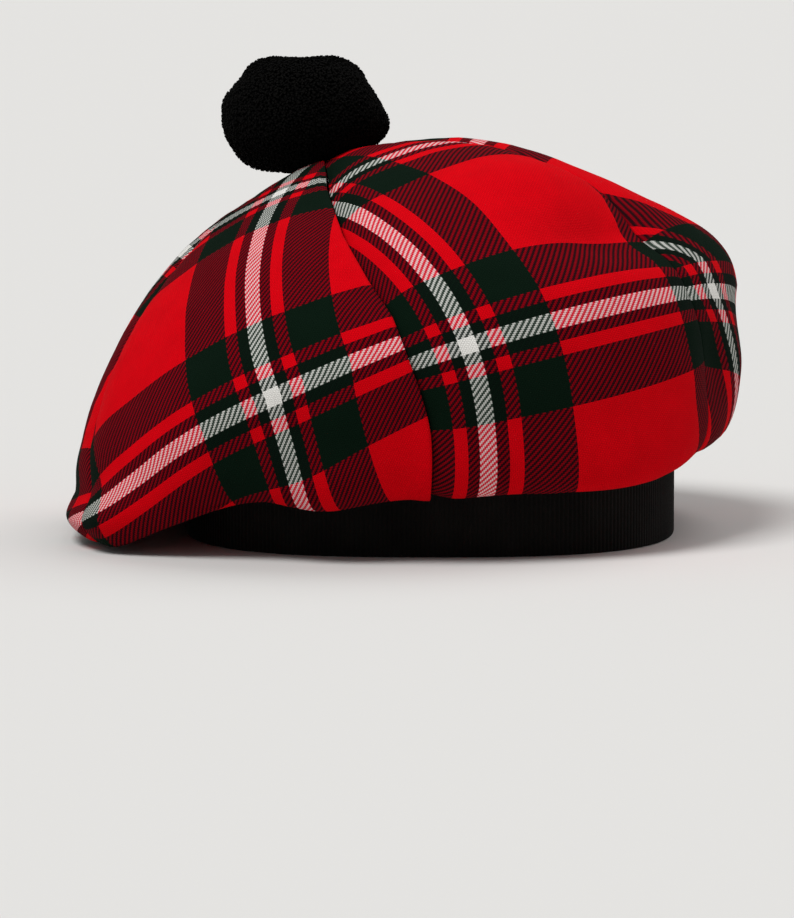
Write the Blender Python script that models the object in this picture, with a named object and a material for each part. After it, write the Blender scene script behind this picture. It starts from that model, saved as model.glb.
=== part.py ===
"""A tam o' shanter: six gores of tartan cloth, a headband and a pompom.

Metres, +Z up, with the viewer at -Y. The hat stands on the flat foot of its headband and the
origin lies on that surface, under the middle of the hat's own box. Azimuths are in degrees
round the hat: 0 faces the viewer, positive turns to the viewer's right.
"""

import functools
import math

import bmesh
import bpy
import numpy as np
from mathutils import Vector

# Headband: a flexible ring, a little squarer than a circle as it stands by itself
BAND_HALF_WIDTH = 0.095
BAND_HALF_DEPTH = 0.095
BAND_HEIGHT = 0.033
BAND_WALL = 0.0036
BAND_EDGE_ROUNDING = 0.001
BAND_SQUARENESS = 2.7
BAND_STEPS = 72

# Crown: a leaning dome down to its widest line, then cloth that turns under to the band
CROWN_RADIUS = 0.136
DOME_HEIGHT = 0.0976
RIM_CENTRE_LEFT = 0.010
RIM_CENTRE_HEIGHT = 0.052
LEAN_LEFT_DEG = 19.6
LEAN_BACK_DEG = 12.5
OVERHANG = 0.041
CLOTH_THICKNESS = 0.0018
CENTRE_HOLE_RADIUS = 0.004
SEAM_COUNT = 6
SEAM_DEPTH = 0.0026
SEAM_HALF_WIDTH_DEG = 4.5

# Places along a line of cloth: 0 at the crown's centre, 1 at the widest line, 2 at the hem
BELLY_PLACE = 1.5
HEM_PLACE = 2.0
UNDER_PLACE = 2.5
SEAT_PLACE = 2.85
BAND_PLACE = 3.0
UNDER_SHARE = 0.45
SEAT_OVERLAP_SHARE = 0.75

# Where seam grooves and folds fade: they start below the centre, weaken past the widest
# line and are gone where the cloth is sewn to the band
GROOVE_FULL_PLACE = 0.3
GROOVE_FADE_PLACE = 0.8
GROOVE_FADE_LENGTH = 0.6
GROOVE_FADE_SHARE = 0.8
FLAT_PLACE = 2.8
FLAT_LENGTH = 0.8

# Pompom: a yarn ball sewn to the crown's centre
POMPOM_RADIUS = 0.032
POMPOM_HALF_HEIGHT = 0.0225
POMPOM_SEAT_TO_CENTRE = 0.0185
POMPOM_DROOP = 0.0072
POMPOM_LEAN_SHARE = 0.0
POMPOM_LOCKS = 90
POMPOM_LOCK_SPREAD = 1.9
POMPOM_LOCK_RELIEF = 0.0024

# Gap between pieces that touch on the real hat
CLEARANCE = 0.0003

# One row for each section of the crown, round the hat from the back.
# azimuth:      degrees
# fullness:     exponent of the dome's curve; a larger one is a fuller shoulder
# rim_reach:    widest line from the rim's centre, share of CROWN_RADIUS
# rim_lift:     widest line above the leaning plane, share of DOME_HEIGHT
# belly_reach:  below the widest line, from the band's centre, share of CROWN_RADIUS
# belly_height: share of RIM_CENTRE_HEIGHT
# hem_reach:    lowest line outside the band's plan, share of OVERHANG
# hem_height:   share of BAND_HEIGHT
SECTION_COLUMNS = ("azimuth", "fullness", "rim_reach", "rim_lift",
                   "belly_reach", "belly_height", "hem_reach", "hem_height")
SECTIONS = (
    (-180, 1.60, 0.98, 0.04, 0.962, 0.30, 0.60, 0.22),
    (-150, 1.54, 0.98, 0.14, 0.965, 0.21, 0.50, 0.15),
    (-120, 1.46, 0.98, 0.18, 0.970, 0.20, 0.54, 0.14),
    (-90, 1.51, 0.985, 0.10, 1.01, 0.19, 0.83, 0.14),
    (-56, 1.56, 1.04, -0.04, 1.125, 0.21, 1.07, 0.08),
    (-44, 1.56, 1.02, 0.00, 1.06, 0.48, 0.84, 0.38),
    (-30, 1.58, 1.00, 0.04, 1.00, 0.80, 0.55, 0.62),
    (0, 1.62, 0.98, 0.03, 0.95, 1.00, 0.42, 0.76),
    (30, 1.70, 0.98, 0.01, 0.93, 1.15, 0.38, 0.80),
    (44, 1.74, 0.985, -0.01, 0.92, 1.20, 0.36, 0.84),
    (62, 1.76, 0.987, -0.03, 0.91, 1.22, 0.32, 1.04),
    (90, 1.74, 0.993, -0.03, 0.90, 1.20, 0.34, 1.02),
    (120, 1.72, 0.99, 0.00, 0.91, 0.92, 0.42, 0.84),
    (150, 1.66, 0.98, 0.02, 0.95, 0.60, 0.52, 0.50),
)

# Folds and dents pressed into the crown, a row for each.
# azimuth, spread: middle and half width round the hat, degrees
# down, length:    middle and half length along the cloth; 0 centre, 1 widest line, 2 hem
# depth:           inwards, share of CROWN_RADIUS; negative swells outwards
FOLD_COLUMNS = ("azimuth", "spread", "down", "length", "depth")
FOLDS = (
    (48, 16, 0.80, 0.11, 0.045),
    (40, 14, 0.58, 0.12, -0.020),
    (95, 16, 0.84, 0.14, -0.030),
    (85, 18, 0.50, 0.16, 0.018),
    (64, 7, 1.45, 0.25, 0.030),
    (-35, 9, 1.95, 0.26, 0.030),
    (-19, 8, 1.85, 0.28, -0.030),
    (-80, 10, 0.75, 0.20, 0.012),
    (4, 6, 1.80, 0.22, -0.015),
    (135, 10, 1.20, 0.35, 0.028),
    (-165, 12, 0.75, 0.25, 0.022),
    (85, 50, 0.34, 0.20, -0.008),
)

# How far a seam wanders from its even place, a row for each point of a wandering seam.
# seam:  the seam's even azimuth, degrees
# down:  place along the cloth
# drift: degrees
DRIFT_COLUMNS = ("seam", "down", "drift")
SEAM_DRIFTS = (
    (0, 0.00, 0.0),
    (0, 0.35, -3.8),
    (0, 0.58, -3.2),
    (0, 0.74, -1.6),
    (0, 0.88, 0.0),
    (0, 1.20, 0.0),
    (0, 3.00, 0.0),
)

# Swellings of the pompom, a row for each.
# roll:   direction, degrees from the pompom's right toward its top, seen from the front
# spread: half width, degrees
# swell:  outwards, share of POMPOM_RADIUS; negative flattens
LUMP_COLUMNS = ("roll", "spread", "swell")
POMPOM_LUMPS = (
    (-14, 18, 0.05),
    (19, 20, -0.13),
    (62, 16, 0.03),
    (94, 14, -0.06),
    (124, 15, 0.06),
    (148, 12, -0.05),
)

# Places along the cloth where the gores have their rows: 0 centre, 1 widest line, 2 hem, 3 band
DOME_ROWS = 15
SIDE_ROWS = 8
UNDER_ROWS = 6
GORE_COLUMNS = (0, 0.045, 0.12, 0.23, 0.36, 0.5, 0.64, 0.77, 0.88, 0.955, 1)
DOME_KNOTS = 9
SMALL_TURN = 0.2
SMALL_STEP = 0.01
HALVINGS = 24


@functools.cache
def periodic_row(azimuth):
    """The section columns at any azimuth, by a smooth curve round the hat."""
    count = len(SECTIONS)
    angles = [row[0] for row in SECTIONS]
    wrapped = (azimuth - angles[0]) % 360 + angles[0]
    index = max(i for i in range(count) if angles[i] <= wrapped)

    def knot(offset):
        turns, place = divmod(index + offset, count)
        return angles[place] + 360 * turns, np.array(SECTIONS[place][1:], dtype=float)

    (a0, p0), (a1, p1), (a2, p2), (a3, p3) = (knot(offset) for offset in (-1, 0, 1, 2))
    slope1 = (p2 - p0) / (a2 - a0)
    slope2 = (p3 - p1) / (a3 - a1)
    span = a2 - a1
    t = (wrapped - a1) / span
    values = ((2 * t**3 - 3 * t**2 + 1) * p1 + (t**3 - 2 * t**2 + t) * span * slope1
              + (3 * t**2 - 2 * t**3) * p2 + (t**3 - t**2) * span * slope2)
    return dict(zip(SECTION_COLUMNS[1:], values))


def outward(azimuth):
    """Level unit direction at an azimuth."""
    angle = math.radians(azimuth)
    return np.array((math.sin(angle), -math.cos(angle), 0.0))


def band_reach(azimuth):
    """Distance from the band's centre to its plan outline."""
    side, front = np.abs(outward(azimuth))[:2]
    power = BAND_SQUARENESS
    return ((side / BAND_HALF_WIDTH)**power + (front / BAND_HALF_DEPTH)**power)**(-1 / power)


def crown_axis():
    """Unit direction from the rim's centre to the crown's centre."""
    axis = np.array((-math.tan(math.radians(LEAN_LEFT_DEG)),
                     math.tan(math.radians(LEAN_BACK_DEG)), 1.0))
    return axis / np.linalg.norm(axis)


def rim_centre():
    """Middle of the crown's widest line."""
    return np.array((-RIM_CENTRE_LEFT, 0.0, RIM_CENTRE_HEIGHT))


def in_rim_plane(azimuth):
    """Unit direction in the leaning rim plane over an azimuth."""
    axis = crown_axis()
    direction = outward(azimuth)
    direction[2] = -np.dot(axis[:2], direction[:2]) / axis[2]
    return direction / np.linalg.norm(direction)


def dome_point(azimuth, row, share):
    """A point of the dome; share 0 is the crown's centre and 1 the widest line."""
    angle = share * math.pi / 2
    power = 2 / row["fullness"]
    reach = CROWN_RADIUS * row["rim_reach"] * math.sin(angle)**power
    rise = DOME_HEIGHT * max(math.cos(angle), 0.0)**power
    lift = DOME_HEIGHT * row["rim_lift"] * share**2
    point = rim_centre() + reach * in_rim_plane(azimuth) + rise * crown_axis()
    return point + np.array((0.0, 0.0, lift))


@functools.cache
def meridian_knots(azimuth):
    """The points that one line of cloth passes through, with their places along it."""
    row = periodic_row(azimuth)
    plan = band_reach(azimuth)
    out = outward(azimuth)
    up = np.array((0.0, 0.0, 1.0))
    seat = BAND_HEIGHT + CLEARANCE
    hem_height = BAND_HEIGHT * row["hem_height"]
    hem_reach = plan + OVERHANG * row["hem_reach"]
    start = (CENTRE_HOLE_RADIUS / CROWN_RADIUS)**(row["fullness"] / 2) * 2 / math.pi
    shares = np.linspace(start, 1.0, DOME_KNOTS)
    places = list((shares - start) / (1 - start))
    points = [dome_point(azimuth, row, share) for share in shares]
    places += [BELLY_PLACE, HEM_PLACE, UNDER_PLACE, SEAT_PLACE, BAND_PLACE]
    points += [
        CROWN_RADIUS * row["belly_reach"] * out + RIM_CENTRE_HEIGHT * row["belly_height"] * up,
        hem_reach * out + hem_height * up,
        (plan + UNDER_SHARE * (hem_reach - plan)) * out + (hem_height + seat) / 2 * up,
        (plan + CLOTH_THICKNESS) * out + (seat + CLOTH_THICKNESS / 10) * up,
        (plan - SEAT_OVERLAP_SHARE * BAND_WALL) * out + seat * up,
    ]
    return np.array(places), np.array(points)


@functools.cache
def along_meridian(azimuth, place):
    """The smooth line of cloth at one azimuth, before folds and seams."""
    places, points = meridian_knots(azimuth)
    last = len(places) - 1
    index = int(np.clip(np.searchsorted(places, place, side="right") - 1, 0, last - 1))
    gaps = np.diff(points, axis=0)
    steps = np.linalg.norm(gaps, axis=1)

    def slope(knot):
        if knot in (0, last):
            near = min(knot, last - 1)
            return gaps[near] / steps[near]
        before, after = steps[knot - 1], steps[knot]
        rate_before, rate_after = gaps[knot - 1] / before, gaps[knot] / after
        return (rate_before * after + rate_after * before) / (before + after)

    t = (place - places[index]) / (places[index + 1] - places[index])
    return ((2 * t**3 - 3 * t**2 + 1) * points[index]
            + (t**3 - 2 * t**2 + t) * steps[index] * slope(index)
            + (3 * t**2 - 2 * t**3) * points[index + 1]
            + (t**3 - t**2) * steps[index] * slope(index + 1))


def turn_between(azimuth, other):
    """Signed degrees from one azimuth to another, the short way."""
    return (azimuth - other + 180) % 360 - 180


@functools.cache
def seam_azimuth(seam, place):
    """Where a seam lies at a place along the cloth, given its even azimuth."""
    rows = [dict(zip(DRIFT_COLUMNS, row)) for row in SEAM_DRIFTS]
    rows = [row for row in rows if abs(turn_between(row["seam"], seam)) < SMALL_TURN]
    if not rows:
        return seam
    return seam + float(np.interp(place, [row["down"] for row in rows],
                                  [row["drift"] for row in rows]))


def normal_at(surface, azimuth, place):
    """Outward unit normal of a surface, by small steps round and along it."""
    low = max(place - SMALL_STEP, 0.0)
    high = min(place + SMALL_STEP, BAND_PLACE)
    round_hat = surface(azimuth + SMALL_TURN, place) - surface(azimuth - SMALL_TURN, place)
    down_cloth = surface(azimuth, high) - surface(azimuth, low)
    normal = np.cross(down_cloth, round_hat)
    return normal / np.linalg.norm(normal)


def press_depth(azimuth, place):
    """How far folds, dents and seams pull the cloth in at a place."""
    depth = 0.0
    for row in FOLDS:
        fold = dict(zip(FOLD_COLUMNS, row))
        across = turn_between(azimuth, fold["azimuth"]) / fold["spread"]
        along = (place - fold["down"]) / fold["length"]
        depth += CROWN_RADIUS * fold["depth"] * math.exp(-across**2 - along**2)
    seams = [seam_azimuth(360 * seam / SEAM_COUNT - 180, place) for seam in range(SEAM_COUNT)]
    off_seam = min(abs(turn_between(azimuth, seam)) for seam in seams)
    groove = SEAM_DEPTH * math.exp(-(off_seam / SEAM_HALF_WIDTH_DEG)**2)
    near_centre = min(place / GROOVE_FULL_PLACE, 1.0)
    below_rim = min(max((place - GROOVE_FADE_PLACE) / GROOVE_FADE_LENGTH, 0.0), 1.0)
    near_band = min(max(FLAT_PLACE - place, 0.0) / FLAT_LENGTH, 1.0)
    return (depth + groove * near_centre * (1 - GROOVE_FADE_SHARE * below_rim)) * near_band


@functools.cache
def cloth_point(azimuth, place):
    """The crown's outer surface."""
    base = along_meridian(azimuth, place)
    depth = press_depth(azimuth, place)
    if abs(depth) < 1e-6:
        return base
    return base - depth * normal_at(along_meridian, azimuth, place)


def gore_rows():
    """Places of the rows of each gore, from the crown's centre to the band."""
    dome = np.linspace(0, 1, DOME_ROWS + 1)
    side = np.linspace(1, HEM_PLACE, SIDE_ROWS + 1)[1:]
    under = np.linspace(HEM_PLACE, BAND_PLACE, UNDER_ROWS + 1)[1:]
    return np.concatenate((dome, side, under))


def material(name, color, roughness):
    """A Principled material of one plain finish."""
    finish = bpy.data.materials.new(name)
    finish.use_nodes = True
    shader = finish.node_tree.nodes["Principled BSDF"]
    shader.inputs["Base Color"].default_value = (*color, 1.0)
    shader.inputs["Roughness"].default_value = roughness
    shader.inputs["Metallic"].default_value = 0.0
    return finish


def add_object(name, points, faces, finish):
    """A smooth-shaded object from points and faces, with its normals turned out."""
    mesh = bpy.data.meshes.new(name)
    mesh.from_pydata([tuple(point) for point in points], [], faces)
    shape = bmesh.new()
    shape.from_mesh(mesh)
    bmesh.ops.recalc_face_normals(shape, faces=shape.faces)
    bmesh.ops.triangulate(shape, faces=shape.faces)
    shape.to_mesh(mesh)
    shape.free()
    mesh.materials.append(finish)
    mesh.shade_smooth()
    mesh.set_sharp_from_angle(angle=math.radians(50))
    item = bpy.data.objects.new(name, mesh)
    bpy.context.scene.collection.objects.link(item)
    return item


def gore(number, finish):
    """One gore: a closed wall of cloth between two seams."""
    seam_turn = 360 / SEAM_COUNT
    left_seam = -180 + seam_turn * (number - 1)
    outer, inner = [], []
    rows = gore_rows()
    for place in rows:
        left = seam_azimuth(left_seam, place)
        right = seam_azimuth(left_seam + seam_turn, place)
        for share in GORE_COLUMNS:
            azimuth = left + (right - left) * share
            point = cloth_point(azimuth, place)
            normal = normal_at(cloth_point, azimuth, place)
            if share in (0, 1):
                beside = (cloth_point(azimuth + SMALL_TURN, place)
                          - cloth_point(azimuth - SMALL_TURN, place))
                beside /= np.linalg.norm(beside)
                point = point + (0.5 - share) * CLEARANCE * beside
            outer.append(point)
            inner.append(point - CLOTH_THICKNESS * normal)
    return add_object(f"crown_panel_{number}", outer + inner,
                      wall_faces(len(rows), len(GORE_COLUMNS)), finish)


def wall_faces(rows, columns):
    """Faces of a closed wall whose outer points come first, then its inner ones."""
    inside = rows * columns
    faces = []
    for row in range(rows - 1):
        for column in range(columns - 1):
            a = row * columns + column
            quad = (a, a + 1, a + columns + 1, a + columns)
            faces.append(quad)
            faces.append(tuple(inside + corner for corner in reversed(quad)))
    border = list(range(columns))
    border += [row * columns + columns - 1 for row in range(1, rows)]
    border += [(rows - 1) * columns + column for column in range(columns - 2, -1, -1)]
    border += [row * columns for row in range(rows - 2, 0, -1)]
    for here, there in zip(border, border[1:] + border[:1]):
        faces.append((there, here, inside + here, inside + there))
    return faces


def head_band(finish):
    """The headband: a ring with a flat foot, a flat top and softened edges."""
    half_wall = BAND_WALL / 2
    soft = BAND_EDGE_ROUNDING
    profile = (
        (half_wall - soft, 0.0), (half_wall, soft),
        (half_wall, BAND_HEIGHT - soft), (half_wall - soft, BAND_HEIGHT),
        (soft - half_wall, BAND_HEIGHT), (-half_wall, BAND_HEIGHT - soft),
        (-half_wall, soft), (soft - half_wall, 0.0),
    )
    points, faces = [], []
    for step in range(BAND_STEPS):
        azimuth = 360 * step / BAND_STEPS
        middle = band_reach(azimuth) - half_wall
        for offset, height in profile:
            points.append((middle + offset) * outward(azimuth) + np.array((0, 0, height)))
    around = len(profile)
    for step in range(BAND_STEPS):
        here = step * around
        there = (step + 1) % BAND_STEPS * around
        for edge in range(around):
            following = (edge + 1) % around
            faces.append((here + edge, there + edge, there + following, here + following))
    return add_object("head_band", points, faces, finish)


def lock_directions():
    """Directions of the pompom's locks, spread evenly over a ball."""
    golden_turn = math.pi * (3 - math.sqrt(5))
    directions = []
    for lock in range(POMPOM_LOCKS):
        height = 1 - 2 * (lock + 0.5) / POMPOM_LOCKS
        level = math.sqrt(1 - height**2)
        turn = golden_turn * lock
        directions.append(Vector((level * math.cos(turn), level * math.sin(turn), height)))
    return directions


def lump_swell(direction):
    """How far the pompom's table swells it in a direction of its own frame."""
    swell = 0.0
    for row in POMPOM_LUMPS:
        lump = dict(zip(LUMP_COLUMNS, row))
        roll = math.radians(lump["roll"])
        off = math.degrees(direction.angle(Vector((math.cos(roll), 0, math.sin(roll)))))
        swell += POMPOM_RADIUS * lump["swell"] * math.exp(-(off / lump["spread"])**2)
    return swell


def pompom(finish):
    """The pompom: locks of yarn fused to a head that droops to the crown's low side."""
    shape = bmesh.new()
    bmesh.ops.create_icosphere(shape, subdivisions=4, radius=1.0)
    locks = lock_directions()
    lock_spread = POMPOM_LOCK_SPREAD / math.sqrt(POMPOM_LOCKS)
    axis = Vector(crown_axis())
    seat = Vector(rim_centre()) + DOME_HEIGHT * axis
    upright = Vector((0, 0, 1)).lerp(axis, POMPOM_LEAN_SHARE).normalized()
    aside = upright.cross(Vector((1, 0, 0))).normalized()
    across = aside.cross(upright)
    middle = POMPOM_SEAT_TO_CENTRE * upright - POMPOM_DROOP * across
    for vertex in shape.verts:
        direction = vertex.co.normalized()
        nearest = min(direction.angle(lock) for lock in locks) / lock_spread
        relief = POMPOM_LOCK_RELIEF * (1 - nearest**2) + lump_swell(direction)
        level = (POMPOM_RADIUS + relief) * Vector((direction.x, direction.y))
        rise = (POMPOM_HALF_HEIGHT + relief) * direction.z
        offset = middle + level.x * across + level.y * aside + rise * upright
        above = offset.dot(axis)
        floor = crown_under(offset - above * axis, axis) + 1.5 * CLEARANCE
        vertex.co = seat + offset + max(floor - above, 0) * axis
    mesh = bpy.data.meshes.new("pompom")
    shape.to_mesh(mesh)
    shape.free()
    mesh.materials.append(finish)
    mesh.shade_smooth()
    item = bpy.data.objects.new("pompom", mesh)
    bpy.context.scene.collection.objects.link(item)
    return item


def crown_under(offset, axis):
    """Height of the crown over its centre, along the axis, at a level offset from it."""
    if offset.length < CENTRE_HOLE_RADIUS:
        return 0.0
    seat = Vector(rim_centre()) + DOME_HEIGHT * axis
    azimuth = math.degrees(math.atan2(offset.x, -offset.y))
    row = periodic_row(azimuth)
    low, high = 0.0, 1.0
    for _ in range(HALVINGS):
        middle = (low + high) / 2
        point = Vector(dome_point(azimuth, row, middle)) - seat
        if (point - point.dot(axis) * axis).length < offset.length:
            low = middle
        else:
            high = middle
    swelling = max(-press_depth(azimuth, low), 0.0)
    return (Vector(dome_point(azimuth, row, low)) - seat).dot(axis) + swelling


def centre_on_origin(items):
    """Moves the meshes so that the origin is under the middle of the hat's box."""
    corners = np.array([vertex.co[:] for item in items for vertex in item.data.vertices])
    middle = (corners.min(axis=0) + corners.max(axis=0)) / 2
    for item in items:
        for vertex in item.data.vertices:
            vertex.co.x -= middle[0]
            vertex.co.y -= middle[1]


def main():
    for item in list(bpy.data.objects):
        bpy.data.objects.remove(item, do_unlink=True)
    wool = material("tartan_wool_twill", (0.60, 0.010, 0.018), 0.85)
    velvet = material("black_ribbed_velvet", (0.004, 0.004, 0.005), 0.80)
    yarn = material("black_wool_yarn", (0.003, 0.003, 0.003), 0.95)
    items = [gore(number, wool) for number in range(1, SEAM_COUNT + 1)]
    items.append(head_band(velvet))
    items.append(pompom(yarn))
    centre_on_origin(items)


main()
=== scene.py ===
# %% [markdown]
# # Dressing a tam o' shanter
#
# A tam o' shanter is a soft Scottish bonnet. Six gores of tartan wool are sewn into a round
# crown far wider than the head, gathered under into a headband, with a ball of yarn, the
# toorie, on the centre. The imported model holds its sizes. This lesson makes the cloth, the
# ribbed band and the yarn that are seen.

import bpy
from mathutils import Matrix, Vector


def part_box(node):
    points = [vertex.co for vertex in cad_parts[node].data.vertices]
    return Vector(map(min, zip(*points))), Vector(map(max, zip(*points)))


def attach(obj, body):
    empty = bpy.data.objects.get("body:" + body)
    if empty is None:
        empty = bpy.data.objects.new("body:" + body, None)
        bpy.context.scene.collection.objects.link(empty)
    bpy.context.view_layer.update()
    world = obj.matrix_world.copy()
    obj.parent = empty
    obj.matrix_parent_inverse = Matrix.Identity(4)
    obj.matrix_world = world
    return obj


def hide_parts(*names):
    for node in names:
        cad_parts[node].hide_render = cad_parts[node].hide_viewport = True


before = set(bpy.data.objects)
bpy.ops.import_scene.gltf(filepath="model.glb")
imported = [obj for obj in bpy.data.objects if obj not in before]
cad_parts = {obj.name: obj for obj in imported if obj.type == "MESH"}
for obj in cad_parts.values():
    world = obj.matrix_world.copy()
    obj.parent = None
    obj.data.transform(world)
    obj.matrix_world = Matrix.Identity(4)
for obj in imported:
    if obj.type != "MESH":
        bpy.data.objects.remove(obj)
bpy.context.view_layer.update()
print("frame nodes:", sorted(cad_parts))

# %% Modules and lengths
import math

import bmesh
import bpy
import numpy as np
from mathutils import Matrix, Vector, noise

MM = 0.001
band_low, band_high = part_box("head_band")
band_middle = np.array(((band_low[0] + band_high[0]) / 2, (band_low[1] + band_high[1]) / 2, 0.0))
print("band middle in millimetres:", (band_middle / MM).round(2))

# %% [markdown]
# ## Camera
# The hat is seen from its own height, a little from above and from two metres away, so that
# near and far edges keep nearly the same scale. A long lens gives that view. The lens is
# worked out from the scale of the picture, and the camera is aimed at the picture's middle
# so that no lens shift is needed.

# %% Camera
IMAGE_WIDTH, IMAGE_HEIGHT = 794, 918
METRES_PER_PIXEL = 0.39 * MM
CAMERA_DISTANCE = 2.0
CAMERA_ELEVATION = math.radians(5.1)
SEEN_HEIGHT = 75 * MM
SEEN_PIXEL = (430, 335)
SENSOR_WIDTH = 36.0

toward_camera = Vector((0, -math.cos(CAMERA_ELEVATION), math.sin(CAMERA_ELEVATION)))
picture_up = Vector((0, math.sin(CAMERA_ELEVATION), math.cos(CAMERA_ELEVATION)))
seen_point = Vector(band_middle) + Vector((0, 0, SEEN_HEIGHT))
aim = (seen_point + METRES_PER_PIXEL * (IMAGE_WIDTH / 2 - SEEN_PIXEL[0]) * Vector((1, 0, 0))
       - METRES_PER_PIXEL * (IMAGE_HEIGHT / 2 - SEEN_PIXEL[1]) * picture_up)
tripod = seen_point + CAMERA_DISTANCE * toward_camera
bpy.ops.object.camera_add(location=tripod, rotation=(aim - tripod).to_track_quat("-Z", "Y").to_euler())
camera = bpy.context.object
camera.name = "portrait_camera"
camera.data.sensor_fit = "HORIZONTAL"
camera.data.sensor_width = SENSOR_WIDTH
camera.data.lens = SENSOR_WIDTH * CAMERA_DISTANCE / (METRES_PER_PIXEL * IMAGE_WIDTH)
bpy.context.scene.camera = camera
print("lens in millimetres:", round(camera.data.lens, 1))

# %% [markdown]
# ## Floor and light
# Soft studio light: a broad light high on the left front, a weaker one high on the right, which
# makes the top of the crown the brightest part, and a pale world that fills in all round. Far
# lights that look wide, as big softboxes do, light the floor evenly to its far edge. The
# plain pale floor is one disc, so wide that its edge lies above the picture.

# %% Floor and light
FLOOR_RADIUS = 60.0
WORLD_STRENGTH = 0.3
LIGHTS = (
    # name, way to the light, how wide it looks in degrees, strength
    ("key_light", (-0.32, -0.42, 0.9), 26, 2.2),
    ("top_light", (0.5, 0.35, 0.9), 50, 1.0),
)


def hex_color(code):
    """A colour written as sRGB hex, turned to the linear light that shaders mix."""
    levels = [int(code[i:i + 2], 16) / 255 for i in (1, 3, 5)]
    linear = [v / 12.92 if v <= 0.04045 else ((v + 0.055) / 1.055)**2.4 for v in levels]
    return (*linear, 1.0)


def add_node(tree, kind, inputs=(), **settings):
    """Adds a node; inputs maps a socket's name or number to a value, a socket or a node."""
    made = tree.nodes.new("ShaderNode" + kind)
    for setting, value in settings.items():
        setattr(made, setting, value)
    for key, value in dict(inputs).items():
        if isinstance(value, bpy.types.Node):
            value = next(output for output in value.outputs if output.enabled)
        if isinstance(value, bpy.types.NodeSocket):
            tree.links.new(value, made.inputs[key])
        else:
            made.inputs[key].default_value = value
    return made


def new_material(name):
    """A material with an empty tree, its Principled shader and its output."""
    made = bpy.data.materials.new(name)
    made.use_nodes = True
    made.node_tree.nodes.clear()
    shader = add_node(made.node_tree, "BsdfPrincipled")
    add_node(made.node_tree, "OutputMaterial", {"Surface": shader.outputs["BSDF"]})
    return made, made.node_tree, shader


def select_only(item):
    """Deselects everything, then selects one object and makes it active."""
    bpy.ops.object.select_all(action="DESELECT")
    item.select_set(True)
    bpy.context.view_layer.objects.active = item


bpy.ops.object.select_all(action="DESELECT")
bpy.ops.mesh.primitive_circle_add(vertices=96, radius=FLOOR_RADIUS, fill_type="NGON")
floor = bpy.context.object
floor.name = "studio_floor"
paper, paper_tree, matte_paper = new_material("pale_paper")
matte_paper.inputs["Base Color"].default_value = hex_color("#d6d5d3")
matte_paper.inputs["Roughness"].default_value = 0.95
matte_paper.inputs["Specular IOR Level"].default_value = 0.0
floor.data.materials.append(paper)

for light_name, way, width, strength in LIGHTS:
    facing = Vector(way).to_track_quat("Z", "Y").to_euler()
    bpy.ops.object.light_add(type="SUN", location=Vector(way), rotation=facing)
    lamp = bpy.context.object
    lamp.name = light_name
    lamp.data.angle = math.radians(width)
    lamp.data.energy = strength

world = bpy.data.worlds.new("pale_studio")
world.use_nodes = True
world.node_tree.nodes["Background"].inputs["Color"].default_value = hex_color("#fbfbfa")
world.node_tree.nodes["Background"].inputs["Strength"].default_value = WORLD_STRENGTH
bpy.context.scene.world = world
bpy.context.scene.view_settings.view_transform = "Standard"
print("lights:", [row[0] for row in LIGHTS])

# %% [markdown]
# ## The crown's form
# Cloth has no form of its own: it hangs from its seams. Each vertical section of this crown
# is one line of cloth: from the centre over a leaning dome to the widest line, round the
# overhang and back under to the headband. A short table gives the sections round the hat,
# and a smooth curve fills in between them. A second table presses in the folds. The solid
# model is shaped in the same way, with its dents a little shallower, so the cloth lies on it.

# %% Sizes and sections
BAND_HALF_WIDTH = (band_high[0] - band_low[0]) / 2
BAND_HEIGHT = band_high[2]
BAND_WALL = 3.6 * MM
BAND_SQUARENESS = 2.7
CROWN_RADIUS = 136 * MM
DOME_HEIGHT = 97.6 * MM
RIM_CENTRE = np.array((-10.0, 0.0, 52.0)) * MM
LEAN_LEFT = math.radians(19.6)
LEAN_BACK = math.radians(12.5)
OVERHANG = 41 * MM
CLOTH = 1.7 * MM
CLEARANCE = 0.3 * MM
CENTRE_HOLE = 4 * MM
GORES = 6
GORE_TURN = 360 / GORES

SECTION_COLUMNS = ("azimuth", "fullness", "rim_reach", "rim_lift",
                   "belly_reach", "belly_height", "hem_reach", "hem_height")
SECTIONS = np.array((
    (-180, 1.60, 0.98, 0.04, 0.962, 0.30, 0.60, 0.22),
    (-150, 1.54, 0.98, 0.14, 0.965, 0.21, 0.50, 0.15),
    (-120, 1.46, 0.98, 0.18, 0.970, 0.20, 0.54, 0.14),
    (-90, 1.51, 0.985, 0.10, 1.01, 0.19, 0.83, 0.14),
    (-56, 1.56, 1.04, -0.04, 1.125, 0.21, 1.07, 0.08),
    (-44, 1.56, 1.02, 0.00, 1.06, 0.48, 0.84, 0.38),
    (-30, 1.58, 1.00, 0.04, 1.00, 0.80, 0.55, 0.62),
    (0, 1.62, 0.98, 0.03, 0.95, 1.00, 0.42, 0.76),
    (30, 1.70, 0.98, 0.01, 0.93, 1.15, 0.38, 0.80),
    (44, 1.74, 0.985, -0.01, 0.92, 1.20, 0.36, 0.84),
    (62, 1.76, 0.987, -0.03, 0.91, 1.22, 0.32, 1.04),
    (90, 1.74, 0.993, -0.03, 0.90, 1.20, 0.34, 1.02),
    (120, 1.72, 0.99, 0.00, 0.91, 0.92, 0.42, 0.84),
    (150, 1.66, 0.98, 0.02, 0.95, 0.60, 0.52, 0.50),
))
print("sections round the crown:", len(SECTIONS))

# %% [markdown]
# ## Folds and seams
# Each row of folds presses the cloth in, or lets it swell, at one place: its middle round
# the hat and down the cloth, how far it spreads each way, and its depth. Down the cloth, 0 is
# the crown's centre, 1 the widest line, 2 the lowest line and 3 the headband. The front seam
# also wanders from its even place, and there the left gore laps over the right one.

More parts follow.
